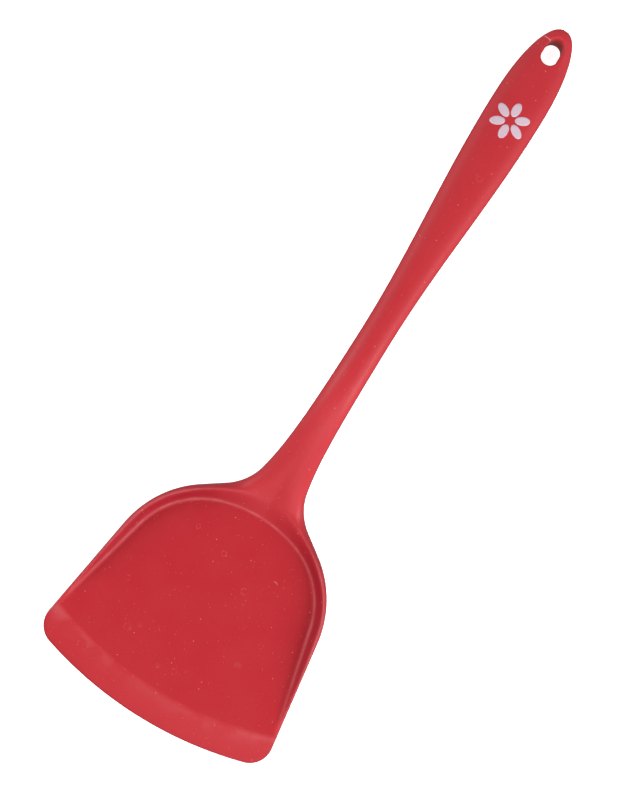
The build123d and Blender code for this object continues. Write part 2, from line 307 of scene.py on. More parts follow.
def pan_foot():
    """Right half of the foot of the pan's wall, from the front to the heel, with outward angles."""
    side = moved((0, 0), 1, PAN_SIDE_ANGLE - 90)
    line = PAN_SIDE_END + np.linspace(50, 0, 200)[:, None] * side
    points = np.concatenate([
        line,
        arc(PAN_SHOULDER_CENTRE, PAN_SHOULDER_RADIUS, PAN_SIDE_ANGLE, PAN_CROWN_ANGLE, 200)[1:],
        arc(CROWN_CENTRE, PAN_CROWN_RADIUS, PAN_CROWN_ANGLE, 90, 100)[1:],
    ])
    return respaced(points, lambda p: np.full(len(p), 0.9))


# ---------------------------------------------------------------- surfaces

def oval(share, power):
    """Rise of a rounded edge: 0 at the edge, 1 from a share of one inward."""
    return (1 - (1 - np.clip(share, 0, 1)) ** power) ** (1 / power)


def edge_forms(points):
    """Height of the widest line, and reach and power of the rounding above and below it."""
    station = points[:, 1]
    rim = np.clip(from_front(points) / LIP_WIDTH, 0, 1)
    rim = np.where(station > FRONT_RADIUS / 2, 1, rim)
    neck = ease((station - NECK_STATIONS[0]) / (NECK_STATIONS[1] - NECK_STATIONS[0]))
    middle = (top_line(station) + under_line(station)) / 2
    width = np.maximum(half_width(np.maximum(station, 2 * FRONT_CORNER)), 0.1)
    return {
        "height": between((between(EDGE_HEIGHTS, rim), middle), neck),
        "reach": between((between(EDGE_REACHES, rim), width), neck),
        "power": between((between(EDGE_POWERS, rim), HANDLE_POWER), neck),
        "under_reach": between((between(UNDER_REACHES, rim), width), neck),
        "under_power": between((2.0, HANDLE_POWER), neck),
        "neck": neck,
    }


def top_surface(points):
    """Height of the top at plan points, with no hanging hole."""
    station = points[:, 1]
    inside = distance_inside(points)
    forms = edge_forms(points)
    outside_pan, angle = pan_place(points)
    crest = top_line(station)
    rim_height = np.maximum(crest - BLADE_THICKNESS, 0)
    drop = BAND_SLOPE * np.maximum(BAND_WIDTH - inside, 0) * (1 - np.exp(-rim_height / BAND_FADE))
    band = crest - drop * (1 - forms["neck"])
    pan = BLADE_THICKNESS + bend(outside_pan, FOOT_REACH) / wall_run(angle)
    lip = EDGE_THICKNESS + (BLADE_THICKNESS - EDGE_THICKNESS) * from_front(points) / LIP_WIDTH
    lip = np.where(station > FRONT_RADIUS / 2, 2 * crest, lip)
    inner = lower_of(pan, band, between(CREST_REACHES, heel_share(angle)))
    inner = lower_of(inner, lip, LIP_REACH)
    rise = oval(inside / forms["reach"], forms["power"])
    return forms["height"] + (inner - forms["height"]) * rise


def under_surface(points):
    """Height of the underside at plan points, with no hanging hole."""
    forms = edge_forms(points)
    fall = oval(distance_inside(points) / forms["under_reach"], forms["under_power"])
    return forms["height"] + (under_line(points[:, 1]) - forms["height"]) * fall


# ---------------------------------------------------------------- hanging hole

HOLE_ANGLE = atan(spine_line(HOLE_STATION + 0.5) - spine_line(HOLE_STATION - 0.5))
HOLE_CENTRE = (HOLE_STATION, float(spine_line(HOLE_STATION)))
HOLE_ROUNDS = 8                 # after these a point's place and its height agree
END_NUDGE = 1e-9                # puts the points between the slot's two ends on one of them


def slot(outside, count):
    """Points round the hole at a distance outside its wall, on the plane square to its axis."""
    radius = HOLE_WIDTH / 2 + outside
    straight = (HOLE_LENGTH - HOLE_WIDTH) / 2
    angles = np.linspace(0, 2 * pi, count, endpoint=False)
    end = np.sign(np.sin(angles + END_NUDGE))
    return np.stack([radius * np.cos(angles), radius * np.sin(angles) + straight * end], axis=1)


def slot_on(surface, outside, count):
    """The same points where lines along the hole's axis meet a surface, in plan."""
    across, along = slot(outside, count).T
    station = HOLE_STATION + along
    for _ in range(HOLE_ROUNDS):
        height = surface(np.stack([across, station], axis=1))
        up = (height - HOLE_CENTRE[1] - along * sin(HOLE_ANGLE)) / cos(HOLE_ANGLE)
        station = HOLE_CENTRE[0] + along * cos(HOLE_ANGLE) - up * sin(HOLE_ANGLE)
    return np.stack([across, station], axis=1)


def hole_distance(points, height):
    """Distance outside the hole's wall of points at the heights given."""
    behind, above = points[:, 1] - HOLE_CENTRE[0], height - HOLE_CENTRE[1]
    along = behind * cos(HOLE_ANGLE) + above * sin(HOLE_ANGLE)
    straight = (HOLE_LENGTH - HOLE_WIDTH) / 2
    return np.hypot(points[:, 0], np.maximum(abs(along) - straight, 0)) - HOLE_WIDTH / 2


def hole_drop(distance):
    """How far the rounding of the hole's edge lies below the surface round it."""
    share = 1 - np.clip(distance / HOLE_ROUNDING, 0, 1)
    return HOLE_ROUNDING * (1 - np.sqrt(1 - share**2))


# ---------------------------------------------------------------- looks

SHEEN_REACH = 2.0               # the painted sheen gives way to the painted shade of the pan over this, inside the pan
HEEL_SHEEN = (10.0, 16.0)       # and over the second of these at the heel, from the first past it
RIM_END = 112.0                 # the rims have run into the neck behind this
# width of the painted highlight along the foot of the pan's wall
FOOT_HIGHLIGHT_WIDTH = 0.42
WALL_SHADE_MIDDLE = 0.55              # the painted wall shade is darkest at this share of the way from foot to crest
HAZE_WIDTH = 4.0
HAZE_FADE = 4                   # the haze fades this much faster in the pan than on the lip
LIP_SHEEN = 0.3                 # painted sheen of the lip, as a share of the handle's
# painted shade along the outline, where the edges turn away, fades out over this width
EDGE_SHADE_WIDTH = 0.45
OPEN_REACH = 1.5                # dust and scratches fade out this near the outline
INK_FILM = 0.05
PETAL_RINGS = 6
PETAL_POINTS = 40

# Painted light: the pan takes the deeper red as painted shade and the rest takes the paler red as
# painted sheen. The darker red is painted shade on the walls and at the outline.
PAN_SHADE_RED = (0.32, 0.0055, 0.012)
SHEEN_RED = (0.4, 0.019, 0.026)
SHADE_RED = (0.2, 0.002, 0.01)
# the pale red serves the painted highlights as well as the haze, dust and marks
HIGHLIGHT_AND_MARK_RED = (0.62, 0.3, 0.3)
SILICONE_SPECULAR = 0.27
FLOOR_GLOW = 0.9

# Plan places in mm: across, station, then a radius. Stations are as in the sizes.
RING_MARKS = (
    (-10.6, 36.5, 1.2), (-5.3, 76.6, 1.1), (-20.3, 80.7, 0.9), (10.1, 67.6, 1.3), (-23.3, 29.5, 1.4),
    (28, 52, 1.0), (3, 24, 1.2), (-34, 47, 1.1), (2, 262, 1.2), (-3, 166, 0.9),
)
BLOTS = (
    (10.1, 67.6, 2.2), (-23.3, 29.5, 3.0), (-19, 33, 1.6),
    (30, 74, 1.8), (-4, 22, 2.0), (24, 40, 2.4),
)
CURL = (19.1, 76.05, 1.8)
CURL_PLACE = (19.5, 77.8, 1.5)  # only the part of the curl's ring near here shows
# Start, end, width
HAIRLINE = ((-2.9, 327.8), (-7.3, 328.5), 0.45)
# Pitch and radius of the dust specks in mm, share of the cells that hold one, strength
DUST = ((2.6, 0.17, 0.25, 0.2), (5.5, 0.2, 0.35, 0.38), (12.0, 0.26, 0.5, 0.55))

# ---------------------------------------------------------------- skin mesh

EDGE_STEPS = 7
EDGE_GAP = 0.005                # least distance between points of the edge rows
ROW_GAP = 0.06                  # and of the pan's rows
ON_CENTRE = 0.01                # points nearer the centreline than this have no mirror image
CENTRE_SNAP = 0.4               # points of the edge rows nearer than this move onto it
HANDLE_GAP = 0.55
HANDLE_ROWS = ((122, 306, 1.8), (306, LENGTH, 0.8))   # stations, spacing
HOLE_COUNT = 72
HOLE_RINGS = (1.2, 1.9)         # rings of points round the hole, outside its rounding
WALL_STEPS = 6
CREST_ROUNDS = 12               # after these the crest's place and its height agree


class PlanPoints:
    """Plan points of one sheet of the mesh, each kept only if none lies too near it."""

    def __init__(self, fixed):
        self.points = [tuple(p) for p in fixed]

    def add(self, points, gap):
        """Adds the points that are further than gap from those added before."""
        tree = KDTree(len(self.points))
        for i, p in enumerate(self.points):
            tree.insert((*p, 0), i)
        tree.balance()
        self.points += [tuple(p) for p in points if tree.find((*p, 0))[2] > gap]


def both_sides(points):
    """Plan points and their mirror images, with those on the centreline once."""
    off = points[points[:, 0] > ON_CENTRE]
    return np.concatenate([points[points[:, 0] > -ON_CENTRE], off * (-1, 1)])


def normals(line):
    """Outward unit normals of the right half of the outline."""
    along = np.gradient(line, axis=0)
    along /= np.hypot(*along.T)[:, None]
    out = np.stack([along[:, 1], -along[:, 0]], axis=1)
    out[0], out[-1] = (0, -1), (0, 1)
    return out


def edge_rows(reach, power):
    """Rows of plan points that follow the outline inward over its rounded edge."""
    out = normals(OUTLINE)
    rows = []
    for step in range(1, EDGE_STEPS + 1):
        share = 1 - cos(pi / 2 * step / EDGE_STEPS) ** (2 / power)
        row = OUTLINE - out * (reach * share)[:, None]
        row = row[row[:, 0] > -CENTRE_SNAP / 2]
        row[:, 0] = np.where(row[:, 0] < CENTRE_SNAP, 0, row[:, 0])
        rows.append(row)
    return rows


def pan_rows():
    """Rows of plan points along the foot, the wall and the crest of the pan."""
    foot = pan_foot()
    angle = pan_place(foot)[1]
    out = np.stack([np.cos(np.radians(angle)), np.sin(np.radians(angle))], axis=1)
    run = wall_run(angle)
    crest = np.full(len(foot), 1.0)
    for _ in range(CREST_ROUNDS):
        crest = (top_line((foot + out * crest[:, None])[:, 1]) - BLADE_THICKNESS) * run
    reach = between(CREST_REACHES, heel_share(angle))
    offsets = [crest + reach * run * k for k in (-1, -0.6, -0.25, 0, 0.25, 0.6, 1)]
    offsets += [np.full(len(foot), FOOT_REACH * k) for k in (-1, -0.66, -0.33, 0, 0.33, 0.66, 1)]
    offsets += [FOOT_REACH + (crest - FOOT_REACH) * k for k in (0.25, 0.5, 0.75)]
    offsets += [crest + k for k in (0.8, 1.4, 2.0, 2.6)]
    return [foot + out * offset[:, None] for offset in offsets]


def grid(stations, gap):
    """Even grid of plan points over the right half between two stations."""
    xs = np.arange(0, SIDE_WIDTH, gap)
    ds = np.arange(stations[0], stations[1], gap)
    return np.stack(np.meshgrid(xs, ds), axis=2).reshape(-1, 2)


def well_inside(points, margin):
    """The points that lie inside the outline by more than a margin."""
    points = points[points[:, 0] < half_width(np.maximum(points[:, 1], 2 * FRONT_CORNER))]
    return points[distance_inside(points) > margin]


def lip_rows():
    """Arcs of plan points along the bevel of the lip and its upper end."""
    bevel = [LIP_WIDTH + LIP_REACH * k * 3 for k in (-2, -1, 0, 1, 2)]
    rows = []
    for behind in (*bevel, 2, 4, 6, 8, 10, 14.5):
        run = arc((0, FRONT_RADIUS), FRONT_RADIUS - behind, -90, -60, 40)
        rows.append(run[run[:, 1] < 30])
    return rows


def handle_grid():
    """Rows of plan points across the handle, closer towards its sides."""
    stations = np.concatenate([np.arange(*run) for run in HANDLE_ROWS])
    columns = np.cos(np.linspace(0.5, 1, EDGE_STEPS - 1) * pi / 2)
    width = half_width(stations)
    return np.concatenate([np.stack([width * c, stations], axis=1) for c in columns])


def inside_loop(points, loop):
    """Whether plan points lie inside a closed loop of points."""
    a, b = loop, np.roll(loop, -1, axis=0)
    found = []
    for part in in_parts(points):
        x, y = part[:, 0, None], part[:, 1, None]
        spans = (a[:, 1] > y) != (b[:, 1] > y)
        rise = np.where(b[:, 1] == a[:, 1], 1, b[:, 1] - a[:, 1])
        crossing = a[:, 0] + (y - a[:, 1]) * (b[:, 0] - a[:, 0]) / rise
        found.append((spans & (x < crossing)).sum(1) % 2 == 1)
    return np.concatenate(found)


def plan_mesh(points, loops):
    """Triangulates plan points inside the first loop and outside the second."""
    edges = [(loop[i], loop[(i + 1) % len(loop)]) for loop in loops for i in range(len(loop))]
    found = delaunay_2d_cdt([Vector(p) for p in points], edges, [], 0, 1e-5, True)
    verts, faces, came_from = found[0], found[2], found[3]
    plan = np.array([tuple(v) for v in verts])
    outline, hole = (np.array([points[i] for i in loop]) for loop in loops)
    middles = plan[np.array(faces)].mean(1)
    kept = inside_loop(middles, outline) & ~inside_loop(middles, hole)
    sources = [min(ids) if ids else None for ids in came_from]
    return plan, [face for face, keep in zip(faces, kept) if keep], sources


def skin_sheet(surface, rows, fill, sign):
    """One sheet of the skin: plan points, faces and heights, and which points are on its loops."""
    outline = np.concatenate([OUTLINE, OUTLINE[-2:0:-1] * (-1, 1)])
    hole = slot_on(surface, 0, HOLE_COUNT)
    sheet = PlanPoints(np.concatenate([outline, hole]))
    for outside in HOLE_ROUNDING * (1 - np.cos(np.linspace(0.2, 1, 5) * pi / 2)):
        sheet.add(slot_on(surface, outside, HOLE_COUNT), 0)
    for outside in HOLE_RINGS:
        sheet.add(slot_on(surface, outside, HOLE_COUNT // 2), 0.35)
    for points, gap in rows + fill:
        points = both_sides(points)
        sheet.add(points[hole_distance(points, surface(points)) > 0], gap)
    loops = [list(range(len(outline))), list(range(len(outline), len(outline) + HOLE_COUNT))]
    plan, faces, came_from = plan_mesh(sheet.points, loops)
    height = surface(plan)
    height = height - sign * hole_drop(hole_distance(plan, height))
    return plan, faces, height, came_from, len(outline)


def top_rows():
    forms = edge_forms(OUTLINE)
    rows = [(row, EDGE_GAP) for row in edge_rows(forms["reach"], forms["power"])]
    for row in pan_rows():
        row = row[(row[:, 0] > -ON_CENTRE) & (row[:, 1] > RIM_STATION - 3)]
        rows.append((well_inside(row, EDGE_REACHES[1]), ROW_GAP))
    rows += [(well_inside(row, 0.8), 0.15) for row in lip_rows()]
    return rows


def under_rows():
    forms = edge_forms(OUTLINE)
    return [(row, EDGE_GAP) for row in edge_rows(forms["under_reach"], forms["under_power"])]


def spread(stations, spacing, margin, gap):
    """An even grid of points inside the outline, and how near they may lie to others."""
    return well_inside(grid(stations, spacing), margin), gap


def top_fill():
    pan_floor = grid((13, 100), 3.5)
    pan_floor = pan_floor[pan_place(pan_floor)[0] < -2]
    return [
        spread((92, 126), 1.1, margin=0.4, gap=0.7),
        (handle_grid(), HANDLE_GAP),
        (well_inside(pan_floor, 1.5), 1.5),
        spread((12, 100), 1.6, margin=0.9, gap=0.8),
    ]


def under_fill():
    return [
        spread((96, 126), 1.2, margin=0.5, gap=0.8),
        (handle_grid(), HANDLE_GAP),
        spread((2, 100), 4.0, margin=1.5, gap=2.0),
    ]


def hole_wall(verts, top, bottom):
    """Adds rings of points between two rings of the hole's wall, and gives the wall's faces."""
    rings = [top]
    for step in range(1, WALL_STEPS):
        ring = {}
        for k in range(HOLE_COUNT):
            a, b = Vector(verts[top[k]]), Vector(verts[bottom[k]])
            ring[k] = len(verts)
            verts.append(tuple(a.lerp(b, step / WALL_STEPS)))
        rings.append(ring)
    rings.append(bottom)
    faces = []
    for upper, lower in zip(rings, rings[1:]):
        for k in range(HOLE_COUNT):
            after = (k + 1) % HOLE_COUNT
            faces.append([upper[k], upper[after], lower[after], lower[k]])
    return faces


def skin_mesh():
    """The silicone skin as one closed mesh: two sheets joined at the outline and the hole."""
    edge_height = edge_forms(OUTLINE)["height"]
    verts, faces = [], []
    hole_loops = []
    outline_ids = None
    for surface, rows, fill, sign in (
        (top_surface, top_rows(), top_fill(), 1),
        (under_surface, under_rows(), under_fill(), -1),
    ):
        plan, sheet_faces, height, came_from, outline_count = skin_sheet(surface, rows, fill, sign)
        ids, loop_ids, hole_ids = [], {}, {}
        for i, (point, z) in enumerate(zip(plan, height)):
            source = came_from[i]
            on_outline = source is not None and source < outline_count
            if on_outline and outline_ids is not None:
                ids.append(outline_ids[source])
                continue
            if on_outline:
                half = source if source < len(OUTLINE) else outline_count - source
                z = edge_height[half]
                loop_ids[source] = len(verts)
            elif source is not None and source < outline_count + HOLE_COUNT:
                hole_ids[source - outline_count] = len(verts)
            ids.append(len(verts))
            verts.append((point[0], point[1], z))
        outline_ids = outline_ids or loop_ids
        hole_loops.append(hole_ids)
        faces += [[ids[i] for i in (f if sign > 0 else f[::-1])] for f in sheet_faces]
    faces += hole_wall(verts, *hole_loops)
    return verts, faces


def make_object(name, verts, faces):
    """A smooth mesh object from points in mm, with stations in place of Y."""
    mesh = bpy.data.meshes.new(name)
    mesh.from_pydata([(x * MM, (d - LENGTH / 2) * MM, z * MM) for x, d, z in verts], [], faces)
    form = bmesh.new()
    form.from_mesh(mesh)
    loose = [v for v in form.verts if not v.link_faces]
    bmesh.ops.delete(form, geom=loose, context="VERTS")
    bmesh.ops.recalc_face_normals(form, faces=form.faces)
    form.to_mesh(mesh)
    form.free()
    mesh.shade_smooth()
    obj = bpy.data.objects.new(name, mesh)
    bpy.context.scene.collection.objects.link(obj)
    return obj


# ---------------------------------------------------------------- looks of the skin by place

def peak(distance, width):
    """1 on a line, fading out over a width on each side of it."""
    return np.exp(-((distance / width) ** 2))


def skin_looks(points, height):
    """Strengths from 0 to 1 of the skin's local looks at its points, painted sheen, painted shade and
    painted highlights among them.
    """
    station = points[:, 1]
    food_side = height > (top_surface(points) + under_surface(points)) / 2
    outside_pan, angle = pan_place(points)
    inside = distance_inside(points)
    from_lip = np.where(station < FRONT_RADIUS / 2, from_front(points) - LIP_WIDTH, FRONT_RADIUS)
    rim = np.clip((top_line(station) - BLADE_THICKNESS) / RIM_HEIGHT, 0, 1)
    crest = (top_line(station) - BLADE_THICKNESS) * wall_run(angle)
    heel = heel_share(angle)
    side_share = (1 - heel) * ease((RIM_END - station) / (RIM_END - NECK_STATIONS[0]))
    outward = np.clip(np.abs(points[:, 0]) / SIDE_WIDTH, 0.4, 1)
    pan_edge = crest + between((0, HEEL_SHEEN[0]), heel)
    on_floor = ease((pan_edge - outside_pan) / between((SHEEN_REACH, HEEL_SHEEN[1]), heel))
    on_floor = on_floor * ease(from_lip / SHEEN_REACH)
    on_lip = ease(-from_lip / SHEEN_REACH + 1) * (1 - LIP_SHEEN)
    # painted shade on the inner walls of the pan
    wall_shade_mask = rim * peak(outside_pan - WALL_SHADE_MIDDLE * crest, WALL_SHADE_MIDDLE * crest + 0.1)
    haze = peak(np.minimum(from_lip, 0) + HAZE_FADE * np.maximum(from_lip, 0), HAZE_WIDTH)
    return {
        # painted sheen: low in the pan, which is painted shade there, and high on the rims, lip, handle
        # and underside
        "sheen_and_mottle": np.where(food_side, 1 - np.maximum(on_floor, on_lip), 1.0),
        # painted shade on the pan's inner walls
        "wall": food_side * wall_shade_mask * side_share,
        # painted highlight along the foot of the pan's wall
        "foot": food_side * rim * peak(outside_pan, FOOT_HIGHLIGHT_WIDTH),
        # painted highlight along the crest of the rims
        "crest": food_side * rim * peak(outside_pan - crest, CREST_REACHES[0]) * side_share,
        "haze": food_side * haze * outward,
        # painted shade in a thin band along the outline
        "painted_edge_shade": peak(inside, EDGE_SHADE_WIDTH),
        "open": food_side * ease(inside / OPEN_REACH),
    }


def add_looks(obj):
    """Stores the local looks on the skin's mesh, for its material to read."""
    count = len(obj.data.vertices)
    places = np.empty(3 * count)
    obj.data.vertices.foreach_get("co", places)
    places = places.reshape(-1, 3) / MM
    places[:, 1] += LENGTH / 2
    for name, strengths in skin_looks(places[:, :2], places[:, 2]).items():
        attribute = obj.data.attributes.new(name, "FLOAT", "POINT")
        attribute.data.foreach_set("value", strengths)


# ---------------------------------------------------------------- printed mark

def petal(turn):
    """One petal of ink as a closed film that lies on the top of the handle."""
    rings = [(1 - k / PETAL_RINGS) for k in range(PETAL_RINGS)]
    angles = np.linspace(0, 2 * pi, PETAL_POINTS, endpoint=False)
    plan = [
        (PETAL_CIRCLE + PETAL_LENGTH / 2 * ring * cos(angle), PETAL_WIDTH / 2 * ring * sin(angle))
        for ring in rings for angle in angles
    ]
    plan.append((PETAL_CIRCLE, 0))
    plan = np.array([
        (x * cos(turn) - y * sin(turn), MARK_STATION + x * sin(turn) + y * cos(turn)) for x, y in plan
    ])
    height = top_surface(plan)
    film = np.full(len(plan), INK_FILM)
    film[:PETAL_POINTS] = INK_FILM / 2
    verts = [*np.column_stack([plan, height + film]), *np.column_stack([plan, height - INK_FILM])]
    faces = []
    centre, under = PETAL_RINGS * PETAL_POINTS, len(plan)
    for k in range(PETAL_POINTS):
        after = (k + 1) % PETAL_POINTS
        for ring in range(PETAL_RINGS - 1):
            a, b = ring * PETAL_POINTS, (ring + 1) * PETAL_POINTS
            faces.append([a + k, a + after, b + after, b + k])
            faces.append([under + b + k, under + b + after, under + a + after, under + a + k])
        last = (PETAL_RINGS - 1) * PETAL_POINTS
        faces.append([last + k, last + after, centre])
        faces.append([under + centre, under + last + after, under + last + k])
        faces.append([under + k, under + after, after, k])
    return verts, faces


def mark_mesh():
    """All the petals of the mark as one mesh."""
    verts, faces = [], []
    for k in range(PETALS):
        petal_verts, petal_faces = petal(pi / 2 + 2 * pi * k / PETALS)
        faces += [[i + len(verts) for i in face] for face in petal_faces]
        verts += petal_verts
    return verts, faces


# ---------------------------------------------------------------- materials

class Shading:
    """A material's node tree, with short calls for the nodes that the materials use."""

    def __init__(self, name):
        self.material = bpy.data.materials.new(name)
        self.material.use_nodes = True
        self.tree = self.material.node_tree
        self.shader = self.tree.nodes["Principled BSDF"]
        self.place = self.tree.nodes.new("ShaderNodeTexCoord").outputs["Object"]

    def connect(self, value, socket):
        """Sets a socket to a number or colour, or links it to another node's output."""
        if isinstance(value, bpy.types.NodeSocket):
            self.tree.links.new(value, socket)
        else:
            socket.default_value = value

    def math(self, operation, a, b=0.0, clamp=False):
        node = self.tree.nodes.new("ShaderNodeMath")
        node.operation = operation
        node.use_clamp = clamp
        self.connect(a, node.inputs[0])
        self.connect(b, node.inputs[1])
        return node.outputs[0]

    def vector(self, operation, a, b, output="Vector"):
        node = self.tree.nodes.new("ShaderNodeVectorMath")
        node.operation = operation
        self.connect(a, node.inputs[0])
        self.connect(b, node.inputs[1])
        return node.outputs[output]

    def stretched(self, factors):
        """The object coordinates, in mm, times a factor for each axis."""
        return self.vector("MULTIPLY", self.place, tuple(f / MM for f in factors))

    def noise(self, size, detail=2.0, place=None):
        """Noise with features of about a size in mm."""
        node = self.tree.nodes.new("ShaderNodeTexNoise")
        node.inputs["Scale"].default_value = 1 / size
        node.inputs["Detail"].default_value = detail
        self.connect(place or self.stretched((1, 1, 1)), node.inputs["Vector"])
        return node.outputs["Fac"]

    def attribute(self, name):
        node = self.tree.nodes.new("ShaderNodeAttribute")
        node.attribute_name = name
        return node.outputs["Fac"]

    def ramp(self, value, low, high, to_low=0.0, to_high=1.0):
        """Maps a value smoothly from one range to another."""
        node = self.tree.nodes.new("ShaderNodeMapRange")
        node.interpolation_type = "SMOOTHSTEP"
        names = ("Value", "From Min", "From Max", "To Min", "To Max")
        for name, number in zip(names, (value, low, high, to_low, to_high)):
            self.connect(number, node.inputs[name])
        return node.outputs["Result"]

    def mix(self, share, a, b):
        """Mixes two colours."""
        node = self.tree.nodes.new("ShaderNodeMix")
        node.data_type = "RGBA"
        self.connect(share, node.inputs[0])
        self.connect((*a, 1) if isinstance(a, tuple) else a, node.inputs[6])
        self.connect((*b, 1) if isinstance(b, tuple) else b, node.inputs[7])
        return node.outputs[2]

    def specks(self, pitch, radius, kept):
        """Dots of about a radius, in mm, in some of the cells of an uneven grid."""
        node = self.tree.nodes.new("ShaderNodeTexVoronoi")
        node.voronoi_dimensions = "2D"
        node.inputs["Scale"].default_value = 1 / pitch
        self.connect(self.stretched((1, 1, 1)), node.inputs["Vector"])
        shade = self.tree.nodes.new("ShaderNodeSeparateColor")
        self.tree.links.new(node.outputs["Color"], shade.inputs["Color"])
        shown = self.math("LESS_THAN", shade.outputs[0], kept)
        dot = self.ramp(node.outputs["Distance"], radius / pitch, 0.4 * radius / pitch)
        return self.math("MULTIPLY", dot, shown)

    def from_point(self, x, station):
        """Distance in mm from an upright line through a plan point."""
        flat = self.vector("MULTIPLY", self.place, (1 / MM, 1 / MM, 0.0))
        return self.vector("DISTANCE", flat, (x, station - LENGTH / 2, 0.0), output="Value")

    def ring(self, x, station, radius, width, whole=False):
        """A thin ring round a plan point, broken up by noise unless it is whole."""
        off = self.math("ABSOLUTE", self.math("SUBTRACT", self.from_point(x, station), radius))
        line = self.ramp(off, width, 0.2 * width)
        return line if whole else self.math("MULTIPLY", line, self.ramp(self.noise(radius), 0.4, 0.6))

    def blot(self, x, station, radius):
        """A soft round blot at a plan point."""
        return self.ramp(self.from_point(x, station), radius, 0.3 * radius)

    def line(self, start, end, width):
        """A thin straight line between two plan points."""
        start, end = Vector(start), Vector(end)
        run = end - start
        unit = run.normalized()
        local = self.vector("SUBTRACT", self.stretched((1, 1, 0)), (start.x, start.y - LENGTH / 2, 0.0))
        along = self.vector("DOT_PRODUCT", local, (unit.x, unit.y, 0.0), output="Value")
        across = self.vector("DOT_PRODUCT", local, (-unit.y, unit.x, 0.0), output="Value")
        off_line = self.math("ABSOLUTE", across)
        past_end = self.math("ABSOLUTE", self.math("SUBTRACT", along, run.length / 2))
        on_run = self.ramp(past_end, run.length / 2 + width, run.length / 2)
        return self.math("MULTIPLY", on_run, self.ramp(off_line, width / 2, 0.2 * width))

    def sum(self, *terms):
        """Sum of pairs of a strength and a factor, kept within 0 and 1."""
        total = 0.0
        for strength, factor in terms:
            total = self.math("ADD", total, self.math("MULTIPLY", strength, factor))
        return self.math("ADD", total, 0.0, clamp=True)

    def bump(self, height, depth):
        """Raises the surface by a height of 0 to 1 times a depth in mm."""
        node = self.tree.nodes.new("ShaderNodeBump")
        node.inputs["Distance"].default_value = depth * MM
        self.connect(height, node.inputs["Height"])
        self.tree.links.new(node.outputs["Normal"], self.shader.inputs["Normal"])

    def finish(self, colour, roughness, specular=0.5, metallic=0.0):
        for name, value in (
            ("Base Color", colour),
            ("Roughness", roughness),
            ("Specular IOR Level", specular),
            ("Metallic", metallic),
        ):
            self.connect(value, self.shader.inputs[name])
        return self.material


def silicone():
    """Satin red silicone: painted shade in the pan as a deeper red, painted sheen elsewhere as a paler
    red, painted shade on the pan's walls and at the outline, painted highlights along the pan's foot
    and crests, haze, dust and marks.
    """
    look = Shading("red_silicone")
    mottle = look.noise(14, detail=3)
    fine = look.noise(0.9, detail=3)
    # Painted shade in the pan and painted sheen elsewhere, with random mottle.
    sheen_and_mottle = look.sum((look.attribute("sheen_and_mottle"), 0.75), (mottle, 0.2), (fine, 0.25))
    colour = look.mix(sheen_and_mottle, PAN_SHADE_RED, SHEEN_RED)
    # Painted shade on the pan's walls and at the outline, towards a darker red.
    shaded = look.sum((look.attribute("wall"), 0.8), (look.attribute("painted_edge_shade"), 0.8))
    colour = look.mix(shaded, colour, SHADE_RED)

    patches = look.ramp(look.noise(5, detail=4), 0.4, 0.7)
    # Painted highlight along the foot of the pan's wall, broken up by patches.
    foot_highlight = look.math("MULTIPLY", look.attribute("foot"), look.ramp(patches, 0, 1, 0.55, 1))
    haze = look.math("MULTIPLY", look.attribute("haze"), look.ramp(look.noise(9), 0.38, 0.62, 0.15, 1))
    marks = [(look.ring(x, station, radius, 0.3), 0.09) for x, station, radius in RING_MARKS]
    marks += [(look.math("MULTIPLY", look.blot(*blot), patches), 0.06) for blot in BLOTS]
    marks += [(look.specks(pitch, radius, kept), strength) for pitch, radius, kept, strength in DUST]
    curl = look.math("MULTIPLY", look.ring(*CURL, 0.25, whole=True), look.blot(*CURL_PLACE))
    marks.append((curl, 0.4))
    marks.append((look.line(*HAIRLINE), 0.75))
    marks = look.math("MULTIPLY", look.sum(*marks), look.attribute("open"))
    # Painted highlights along the foot and the crests, with haze, dust and marks, towards a pale red.
    highlights_and_marks = look.sum((foot_highlight, 0.18), (look.attribute("crest"), 0.14), (haze, 0.1), (marks, 1.0))
    colour = look.mix(highlights_and_marks, colour, HIGHLIGHT_AND_MARK_RED)

    ripple = look.noise(6, detail=1)
    look.bump(look.sum((fine, 0.2), (ripple, 0.7)), 0.12)
    roughness = look.ramp(look.sum((mottle, 0.6), (highlights_and_marks, 0.5)), 0, 1, 0.48, 0.72)
    return look.finish(colour, roughness, specular=SILICONE_SPECULAR)


def ink():
    """Matt pale ink, worn thin in small pits."""
    look = Shading("pale_ink")
    worn = look.sum((look.ramp(look.noise(1.1, detail=5), 0.56, 0.72), 0.35), (look.noise(6), 0.12))
    look.bump(look.noise(0.4, detail=3), 0.02)
    return look.finish(look.mix(worn, (0.5, 0.39, 0.46), (0.45, 0.2, 0.23)), 0.6, specular=0.3)


def steel(name, grain, colour):
    """Steel with fine lines; grain holds the factors that stretch them along one axis."""
    look = Shading(name)
    lines = look.noise(0.6, detail=4, place=look.stretched(grain))
    stain = look.noise(11, detail=2)
    shade = look.sum((lines, 0.5), (stain, 0.5))
    darker = tuple(0.72 * channel for channel in colour)
    look.bump(lines, 0.01)
    roughness = look.ramp(lines, 0.3, 0.7, 0.28, 0.42)
    return look.finish(look.mix(shade, darker, colour), roughness, metallic=1.0)


def nylon():
    """Matt black nylon with glass fibres that show as fine flecks."""
    look = Shading("black_nylon")
    fibres = look.ramp(look.noise(0.5, detail=4, place=look.stretched((1, 0.25, 1))), 0.55, 0.75)
    cloud = look.noise(8)
    shade = look.sum((fibres, 0.5), (cloud, 0.3))
    look.bump(fibres, 0.02)
    return look.finish(look.mix(shade, (0.012, 0.012, 0.014), (0.05, 0.05, 0.054)), 0.55)


